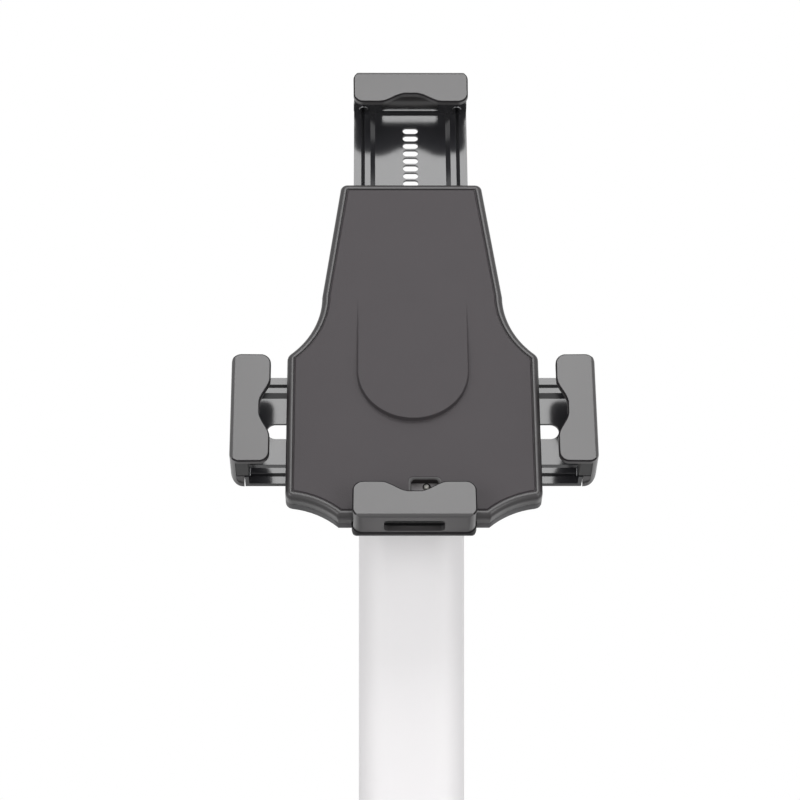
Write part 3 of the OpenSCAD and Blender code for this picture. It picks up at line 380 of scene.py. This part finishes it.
def finished(bm, name, node, finish, soft=0.0, angle=FOLD, others=()):
    """Makes bm a piece that stands for a CAD node and rides with it, with its edges softened when soft is
    given.
    """
    piece = piece_of(bm, name, finish, *others)
    if soft:
        rounding = piece.modifiers.new("Edges", "BEVEL")
        rounding.width = soft
        rounding.segments = 3
        rounding.limit_method = "ANGLE"
        rounding.angle_limit = math.radians(angle)
        rounding.use_clamp_overlap = True
    weighted = piece.modifiers.new("Normals", "WEIGHTED_NORMAL")
    weighted.keep_sharp = True
    weighted.weight = 100
    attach(piece, BODY_OF[node])
    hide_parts(node)


def merged(node):
    """A CAD node's solid with its triangles joined into whole faces, all shaded smooth."""
    bm = bmesh.new()
    bm.from_mesh(frame["nodes"][node].data)
    bmesh.ops.remove_doubles(bm, verts=bm.verts, dist=SAME_POINT)
    bmesh.ops.dissolve_limit(bm, angle_limit=math.radians(FLAT), verts=bm.verts, edges=bm.edges)
    for face in bm.faces:
        face.smooth = True
    return bm


def softened(node, finish, soft, angle=FOLD):
    """A merged copy of a CAD node with its edges rounded, in the node's place."""
    finished(merged(node), "soft_" + node, node, finish, soft, angle)


def spread(node):
    """A CAD node's lowest and highest corners in the holder's frame, in millimetres."""
    points = [HOLDER.inverted() @ v.co for v in frame["nodes"][node].data.vertices]
    return Vector(map(min, zip(*points))), Vector(map(max, zip(*points)))


def edged_jaw(node):
    """A jaw whose lip has a rounded outline, coloured dark as painted shade."""
    s = bpy.context.scene.stand_sizes
    bm = merged(node)
    bmesh.ops.transform(bm, matrix=HOLDER.inverted(), verts=bm.verts)
    # The lip's outline is foremost, and all of it lies within this depth
    outline_depth = 0.1
    lip_front = max(v.co.z for v in bm.verts) - outline_depth
    outline = [e for e in bm.edges
               if e.calc_face_angle(0) > math.radians(FOLD) and all(v.co.z > lip_front for v in e.verts)]
    rounded = bmesh.ops.bevel(bm, geom=outline, offset=s.lip_edge, segments=3, profile=0.5, affect="EDGES",
                              material=-1, clamp_overlap=False)
    # The rounded outline gets the dark finish: painted shade along the lip's edges
    for face in rounded["faces"]:
        face.material_index = PAINTED_SHADE_EDGE
    for face in bm.faces:
        face.smooth = True
    bmesh.ops.transform(bm, matrix=HOLDER, verts=bm.verts)
    finished(bm, "soft_" + node, node, "jaw_satin", s.edge_soft, others=("jaw_edge",))


def listed_by_place(bm):
    """Lists points, edges and faces by their places, so that every run writes the same mesh."""
    def place(element):
        corners = getattr(element, "verts", [element])
        return tuple(sum((v.co for v in corners), Vector()))

    for elements in (bm.verts, bm.edges, bm.faces):
        for index, element in enumerate(sorted(elements, key=place)):
            element.index = index
        elements.sort()


def rear_strip():
    """A raised dark strip round the rear edge of the bottom jaw, over its corners and its bend, that paints
    the shade on that edge and bend.
    """
    s = bpy.context.scene.stand_sizes
    low, high = spread("bottom_jaw")
    half, outer = high.x, low.y
    # The radius of the jaw's corners, and the radius and the start of the bend into its back
    corner, bend_r, bend_w = 5.0, 8.0, -5.9
    # How far the strip reaches up the jaw's ends, and how deep it sits in the jaw
    end_l, sunk = 6.2, 0.3
    # Levels from the strip's upper edge down the bend
    levels = (s.strip_w, bend_w, -7.0, -8.2, -9.4, -10.5, -11.5)
    bm = bmesh.new()
    rings = []
    for w in levels:
        drop = bend_r - math.sqrt(bend_r * bend_r - min(0, w - bend_w) ** 2)
        path = [(half + s.strip_rise, outer + end_l, w)]
        for u, v in arc((half - corner, corner), corner + s.strip_rise, 0, -90, 15):
            path.append((u, outer + max(v, drop - s.strip_rise), w))
        rings.append(loop_of(bm, path + [(-u, v, z) for u, v, z in reversed(path)], close=False))
    bridged(bm, rings)
    for face in bm.faces:
        face.smooth = True
    bmesh.ops.remove_doubles(bm, verts=bm.verts, dist=SAME_POINT_MM)
    bmesh.ops.recalc_face_normals(bm, faces=bm.faces)
    # The strip is still an open sheet, so its normals may have come out inwards
    if sum(f.normal.y * f.calc_area() for f in bm.faces) > 0:
        bmesh.ops.reverse_faces(bm, faces=bm.faces[:])
    bmesh.ops.solidify(bm, geom=bm.faces[:], thickness=s.strip_rise + sunk)
    listed_by_place(bm)
    bmesh.ops.transform(bm, matrix=HOLDER, verts=bm.verts)
    # The strip's dark finish is painted shade over the jaw's rear bend
    strip = piece_of(bm, "bottom_jaw_strip", "jaw_edge")
    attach(strip, BODY_OF["bottom_jaw"])


def arc(centre, radius, start, end, steps):
    """Points along an arc between two angles in degrees."""
    return [(centre[0] + radius * math.cos(math.radians(start + (end - start) * i / steps)),
             centre[1] + radius * math.sin(math.radians(start + (end - start) * i / steps)))
            for i in range(steps + 1)]


def face_outline(inset):
    """The face's outline in the holder's frame, anticlockwise, moved inwards by inset."""
    # The face's reach down, up and sideways, and half the width of its neck and of its top
    down, up, wide, neck, top = 83.9 - inset, 119.0 - inset, 66.0 - inset, 48.0, 38.6 - inset
    # The hollow at each lower corner, the radii of the corners, and the flare below the neck
    hollow, hollow_r = (68.0, -116.7), 44.0 + inset
    least_r = 0.8
    corner_r, shoulder_r, top_r = (max(r - inset, least_r) for r in (4.0, 5.0, 3.8))
    neck_v, flare_r = 47.5, 45.88
    corner_u = wide - corner_r
    reach = hollow_r + corner_r
    start = 180 - math.degrees(math.asin((-down - hollow[1]) / hollow_r))
    end = math.degrees(math.acos((corner_u - hollow[0]) / reach))
    corner_v = hollow[1] + reach * math.sin(math.radians(end))
    flare_u = neck + flare_r
    span = flare_r + inset + shoulder_r
    across = flare_u - wide + shoulder_r
    drop = math.sqrt(span * span - across * across)
    turn = math.degrees(math.atan2(drop, across))
    half = (arc(hollow, hollow_r, start, end, 20)
            + arc((corner_u, corner_v), corner_r, end + 180, 360, 8)[1:]
            + arc((wide - shoulder_r, neck_v - drop), shoulder_r, 0, turn, 6)
            + arc((flare_u, neck_v), flare_r + inset, 180 + turn, 180, 20)[1:]
            + arc((top - top_r, up - top_r), top_r, 0, 90, 7))
    return half + [(-u, v) for u, v in reversed(half)]


def loop_of(bm, points, close=True):
    """Vertices through points, and the edges that join them."""
    verts = [bm.verts.new(p) for p in points]
    ends = list(zip(verts, verts[1:])) + ([(verts[-1], verts[0])] if close else [])
    return verts, [bm.edges.new(pair) for pair in ends]


def bridged(bm, loops, finish_of=lambda step: 0):
    """Faces between each loop and the next, whose finish's number follows from the step."""
    for step, ((_, first), (_, second)) in enumerate(zip(loops, loops[1:])):
        for face in bmesh.ops.bridge_loops(bm, edges=first + second)["faces"]:
            face.material_index = finish_of(step)


def tongue_line(offset, height):
    """Points down one flank of the tongue, round its end and up the other, moved out by offset."""
    s = bpy.context.scene.stand_sizes
    r = s.tongue_half + offset
    straight = [s.tongue_v + s.tongue_l - s.tongue_l * i / 14 for i in range(15)]
    flat = ([(-r, v) for v in straight] + arc((0, s.tongue_v), r, 180, 360, 40)[1:-1]
            + [(r, v) for v in reversed(straight)])
    return [(u, v, height(v)) for u, v in flat]


def face_rim(bm):
    """The rounded edge with the bead and groove inside it; returns the seam's face and the inner edges."""
    s = bpy.context.scene.stand_sizes
    edge, bead, wide, deep = s.face_edge, s.face_edge + s.bead_width, s.groove_width, s.groove_depth
    section = [(0, -s.face_depth), (0, -edge)]
    section += [(edge + a, b - edge) for a, b in arc((0, 0), edge, 165, 90, 6)]
    section += [(bead, 0), (bead + 0.15 * wide, -0.3 * deep), (bead + 0.25 * wide, -0.8 * deep),
                (bead + 0.4 * wide, -deep), (bead + 0.65 * wide, -deep), (bead + 0.8 * wide, -0.7 * deep),
                (bead + 0.92 * wide, -0.2 * deep), (bead + 1.15 * wide, 0)]
    rings = [loop_of(bm, [(u, v, w) for u, v in face_outline(d)]) for d, w in section]
    bridged(bm, rings, lambda step: RIM if section[step + 1][0] <= bead + 0.4 * wide else GRAIN)
    return bm.faces.new(rings[0][0]), rings[-1][1]


def face_tongue(bm):
    """The raised tongue in its dish, both running out at its upper end; returns the edges round them."""
    s = bpy.context.scene.stand_sizes
    # How many times faster than the tongue the dish and the tongue's edge come to their full depth
    dish_pace, edge_pace = 1.9, 4

    def share(v):
        return min(1, max(0, (s.tongue_v + s.tongue_l - v) / (s.tongue_l + s.tongue_half)))

    def eased(t):
        return t * t * (3 - 2 * t)

    def dish(offset):
        t = 1 - offset / s.dish_reach
        return lambda v: -s.dish_depth * eased(min(1, dish_pace * share(v))) * t * t

    def raised(sunk):
        return lambda v: max(s.tongue_rise * share(v) - sunk * min(1, edge_pace * share(v)), 0)

    offsets = [s.dish_reach * k for k in (1, 0.78, 0.58, 0.4, 0.26, 0.15, 0.07, 0.02)]
    lines = [tongue_line(offset, dish(offset)) for offset in offsets]
    # The tongue's edge: how far out each line lies, and how far under the tongue's plane
    rounding = ((0, 0.5), (-0.07, 0.25), (-0.25, 0.07), (-0.6, 0))
    lines += [tongue_line(offset, raised(sunk)) for offset, sunk in rounding]
    chains = [loop_of(bm, points, close=False) for points in lines]
    bridged(bm, chains)
    last = chains[-1][0]
    bm.faces.new(last)
    ends = [(outer[k], inner[k]) for (outer, _), (inner, _) in zip(chains, chains[1:]) for k in (0, -1)]
    crest = [bm.edges.get(pair) or bm.edges.new(pair) for pair in ends]
    return chains[0][1] + crest + [bm.edges.get((last[0], last[-1]))]


def window_loop(bm, grow, level):
    """The window's outline with its round corners, stretched outwards by grow."""
    s = bpy.context.scene.stand_sizes
    w, h, r = s.window_w / 2, s.window_h / 2, s.window_corner
    outline = []
    for k, (right, up) in enumerate(((1, 1), (-1, 1), (-1, -1), (1, -1))):
        outline += arc((right * (w - r), up * (h - r)), r, 90 * k, 90 * k + 90, 6)
    return loop_of(bm, [(s.window_u + u * (w + grow) / w, s.window_v + v * (h + grow) / h, level)
                        for u, v in outline])


def face_window(bm):
    """The window's frame, its pocket and the well round the pin; returns the frame's outer edges."""
    s = bpy.context.scene.stand_sizes
    floor = -s.window_depth
    # How far each step of the frame and the walls lies outside the window, and its level
    steps = [(0.35, 0.0), (0.2, -0.3), (0.05, -0.4), (-0.15, -0.3), (-1.1, -0.6), (-1.25, -0.75),
             (-1.3, -1.0), (-0.2, -1.3), (-0.2, floor)]
    walls = [window_loop(bm, grow, level) for grow, level in steps]
    bridged(bm, walls, lambda step: RIM if 2 <= step <= 5 else GRAIN)
    low, high = spread("stop_pin")
    pin = (low + high) / 2
    well = [loop_of(bm, [(u, v, level) for u, v in arc(pin, s.well_r, 0, 360, 24)[:-1]])
            for level in (floor, floor - s.well_depth)]
    bridged(bm, well)
    bm.faces.new(well[1][0])
    # The pocket's floor gets the pale finish, which paints light into the shaded pocket
    for found in bmesh.ops.triangle_fill(bm, edges=walls[-1][1] + well[0][1], use_beauty=True)["geom"]:
        if isinstance(found, bmesh.types.BMFace):
            found.material_index = POCKET_PAINTED_LIGHT
    return walls[0][1]


def face_back(bm, seam):
    """A wall behind the rim, the back inside it and the box behind the window's pocket."""
    s = bpy.context.scene.stand_sizes
    # The wall behind the rim, the step in to the back, and the walls and the floor of the box
    wall, step, box_wall, box_floor = 2.4, 0.8, 0.6, 2.5
    bmesh.ops.inset_region(bm, faces=[seam], thickness=wall, use_even_offset=True)
    bmesh.ops.translate(bm, verts=list(seam.verts), vec=(0, 0, step))
    back = list(seam.edges)
    bmesh.ops.delete(bm, geom=[seam], context="FACES_ONLY")
    box = [window_loop(bm, box_wall, level) for level in (step - s.face_depth, -s.window_depth - box_floor)]
    bridged(bm, box)
    bm.faces.new(box[1][0])
    bmesh.ops.triangle_fill(bm, edges=back + box[0][1], use_beauty=True)


def face_shell():
    """The front moulding: rounded rim, raised tongue in a shallow dish, and the window with its pocket."""
    bm = bmesh.new()
    seam, rim = face_rim(bm)
    tongue = face_tongue(bm)
    window = face_window(bm)
    bmesh.ops.triangle_fill(bm, edges=rim + tongue + window, use_beauty=True)
    face_back(bm, seam)
    bmesh.ops.remove_doubles(bm, verts=bm.verts, dist=SAME_POINT_MM)
    bmesh.ops.recalc_face_normals(bm, faces=bm.faces)
    bmesh.ops.transform(bm, matrix=HOLDER, verts=bm.verts)
    for face in bm.faces:
        face.smooth = True
    finished(bm, "face_moulding", "front_shell", "face_grain", others=("rim_satin", "pocket_grey"))


class STAND_OT_base(bpy.types.Operator):
    """Finish the base plate, its mat and the screws that hold the pole"""
    bl_idname = "stand.base"
    bl_label = "Base"

    def execute(self, context):
        softened("base_plate", "plate_coat", context.scene.stand_sizes.plate_soft, angle=60)
        paint("base_mat", "mat_rubber")
        paint("pole_screws", "screw_steel")
        return {"FINISHED"}


class STAND_OT_pole(bpy.types.Operator):
    """Finish the pole, its collar and its cap"""
    bl_idname = "stand.pole"
    bl_label = "Pole"

    def execute(self, context):
        soft = context.scene.stand_sizes.edge_soft
        paint("pole", "pole_satin")
        softened("pole_collar", "shell_grain", soft)
        softened("pole_cap", "shell_grain", soft)
        paint("cap_screws", "screw_steel")
        return {"FINISHED"}


class STAND_OT_hinge(bpy.types.Operator):
    """Finish the tilt hinge and the swivel"""
    bl_idname = "stand.hinge"
    bl_label = "Hinge and swivel"

    def execute(self, context):
        soft = context.scene.stand_sizes.edge_soft
        softened("knuckle", "shell_grain", soft)
        softened("hinge_covers", "shell_grain", soft)
        for node in ("hinge_bolt", "hinge_nut", "swivel_axle", "axle_washer", "axle_nut", "swivel_disc",
                     "disc_screws"):
            paint(node, "screw_steel")
        for node in ("hinge_washers", "friction_ring"):
            paint(node, "nylon")
        return {"FINISHED"}


class STAND_OT_body(bpy.types.Operator):
    """Build the face moulding and finish the rear shell"""
    bl_idname = "stand.body"
    bl_label = "Holder body"

    def execute(self, context):
        face_shell()
        softened("rear_shell", "shell_grain", context.scene.stand_sizes.edge_soft, angle=50)
        paint("shell_screws", "screw_black")
        # The stop pin is painted in the pale nylon instead of steel, as painted light standing in for its
        # highlight in the shaded pocket
        paint("stop_pin", "nylon")
        paint("pinion_clip", "screw_steel")
        paint("pinion", "nylon")
        return {"FINISHED"}


class STAND_OT_lock(bpy.types.Operator):
    """Finish the lock's barrel, plunger and key plug"""
    bl_idname = "stand.lock"
    bl_label = "Lock"

    def execute(self, context):
        for node in ("lock_barrel", "lock_plunger", "lock_plug"):
            softened(node, "lock_chrome", context.scene.stand_sizes.gloss_soft)
        return {"FINISHED"}


class STAND_OT_arms(bpy.types.Operator):
    """Finish the three sliding arms"""
    bl_idname = "stand.arms"
    bl_label = "Arms"

    def execute(self, context):
        for node in ("top_arm", "left_arm", "right_arm"):
            softened(node, "arm_gloss", context.scene.stand_sizes.gloss_soft, angle=22)
        return {"FINISHED"}


class STAND_OT_jaws(bpy.types.Operator):
    """Finish the four jaws, their pads and their screws"""
    bl_idname = "stand.jaws"
    bl_label = "Jaws"

    def execute(self, context):
        s = context.scene.stand_sizes
        for side in ("top", "left", "right", "bottom"):
            edged_jaw(side + "_jaw")
            softened(side + "_pads", "pad_rubber", s.edge_soft)
            softened(side + "_jaw_screws", "screw_black", s.screw_soft, angle=60)
        rear_strip()
        return {"FINISHED"}


def area_light(name, place, aim, size, power):
    """A rectangular lamp at a place that faces a point."""
    lamp = bpy.data.lights.new(name, "AREA")
    lamp.shape = "RECTANGLE"
    lamp.size, lamp.size_y = size
    lamp.energy = power
    light = bpy.data.objects.new(name, lamp)
    light.location = place
    light.rotation_euler = (Vector(aim) - Vector(place)).to_track_quat("-Z", "Y").to_euler()
    bpy.context.scene.collection.objects.link(light)


def seen_rays(tree):
    """1 for camera, glossy and transmission rays, and 0 for the rays that light the object."""
    path = tree.nodes.new("ShaderNodeLightPath")
    either = path.outputs["Is Camera Ray"]
    for ray in ("Is Glossy Ray", "Is Transmission Ray"):
        most = tree.nodes.new("ShaderNodeMath")
        most.operation = "MAXIMUM"
        tree.links.new(either, most.inputs[0])
        tree.links.new(path.outputs[ray], most.inputs[1])
        either = most.outputs[0]
    return either


def show_white(tree, lit, share, output):
    """Mixes plain white into the lit shader by share, which is 1 where white shows."""
    white = tree.nodes.new("ShaderNodeEmission" if output.bl_idname == "ShaderNodeOutputMaterial"
                           else "ShaderNodeBackground")
    white.inputs["Color"].default_value = (1, 1, 1, 1)
    mix = tree.nodes.new("ShaderNodeMixShader")
    tree.links.new(share, mix.inputs[0])
    tree.links.new(lit, mix.inputs[1])
    tree.links.new(white.outputs[0], mix.inputs[2])
    tree.links.new(mix.outputs[0], output.inputs["Surface"])


def floor_finish(colour):
    """A pale floor that keeps the stand's shadow and runs out into the white backdrop."""
    f = Finish("studio_floor", colour, 0.9)
    away = f.node("ShaderNodeVectorMath", {"operation": "LENGTH"}, {0: f.place}, 1)
    far = f.node("ShaderNodeMapRange", {"interpolation_type": "SMOOTHSTEP"}, {
        "Value": away, "From Min": FLOOR_FADE[0], "From Max": FLOOR_FADE[1]})
    share = Shade(f, seen_rays(f.tree)) * far
    show_white(f.tree, f.shader.outputs[0], share.socket, f.tree.nodes["Material Output"])
    return f.material


class STAND_OT_stage(bpy.types.Operator):
    """Set up the studio: camera, floor, lights and backdrop"""
    bl_idname = "stand.stage"
    bl_label = "Studio"

    def execute(self, context):
        scene = context.scene
        scene.view_settings.view_transform = "Standard"
        lens = bpy.data.cameras.new("Camera")
        lens.sensor_width = CAMERA_SENSOR
        lens.lens = CAMERA_LENS
        lens.clip_end = 50
        camera = bpy.data.objects.new("Camera", lens)
        camera.location = CAMERA_PLACE
        camera.rotation_euler = (math.radians(90), 0, math.radians(CAMERA_TURN))
        scene.collection.objects.link(camera)
        scene.camera = camera

        bm = bmesh.new()
        bmesh.ops.create_grid(bm, x_segments=1, y_segments=1, size=FLOOR_REACH)
        floor = piece_of(bm, "floor")
        floor.location.z = -FLOOR_DROP
        floor.data.materials.append(floor_finish(scene.stand_colours.floor))

        world = bpy.data.worlds.new("studio")
        world.use_nodes = True
        scene.world = world
        sky = world.node_tree
        air = sky.nodes["Background"]
        air.inputs["Color"].default_value = (1, 1, 1, 1)
        air.inputs["Strength"].default_value = AIR_STRENGTH
        show_white(sky, air.outputs[0], seen_rays(sky), sky.nodes["World Output"])

        for lamp in LAMPS:
            area_light(*lamp)
        return {"FINISHED"}


class STAND_PT_panel(bpy.types.Panel):
    """Lists the stand's pieces, sizes and colours"""
    bl_idname = "STAND_PT_panel"
    bl_label = "Tablet desk stand"
    bl_space_type = "VIEW_3D"
    bl_region_type = "UI"
    bl_category = "Stand"

    def draw(self, context):
        for group in (context.scene.stand_sizes, context.scene.stand_colours):
            box = self.layout.box()
            for name in group.bl_rna.properties.keys():
                if name not in ("rna_type", "name"):
                    box.prop(group, name)
        for operator in PIECES:
            self.layout.operator(operator.bl_idname)


PIECES = (STAND_OT_base, STAND_OT_pole, STAND_OT_hinge, STAND_OT_body, STAND_OT_lock, STAND_OT_arms,
          STAND_OT_jaws, STAND_OT_stage)
CLASSES = (StandSizes, StandColours, *PIECES, STAND_PT_panel)


def register():
    for cls in CLASSES:
        bpy.utils.register_class(cls)
    bpy.types.Scene.stand_sizes = bpy.props.PointerProperty(type=StandSizes)
    bpy.types.Scene.stand_colours = bpy.props.PointerProperty(type=StandColours)


def unregister():
    del bpy.types.Scene.stand_colours
    del bpy.types.Scene.stand_sizes
    for cls in reversed(CLASSES):
        bpy.utils.unregister_class(cls)


def main():
    """Makes the stand and its studio"""
    register()
    bpy.ops.stand.base()
    bpy.ops.stand.pole()
    bpy.ops.stand.hinge()
    bpy.ops.stand.body()
    bpy.ops.stand.lock()
    bpy.ops.stand.arms()
    bpy.ops.stand.jaws()
    bpy.ops.stand.stage()


if __name__ == "__main__":
    main()
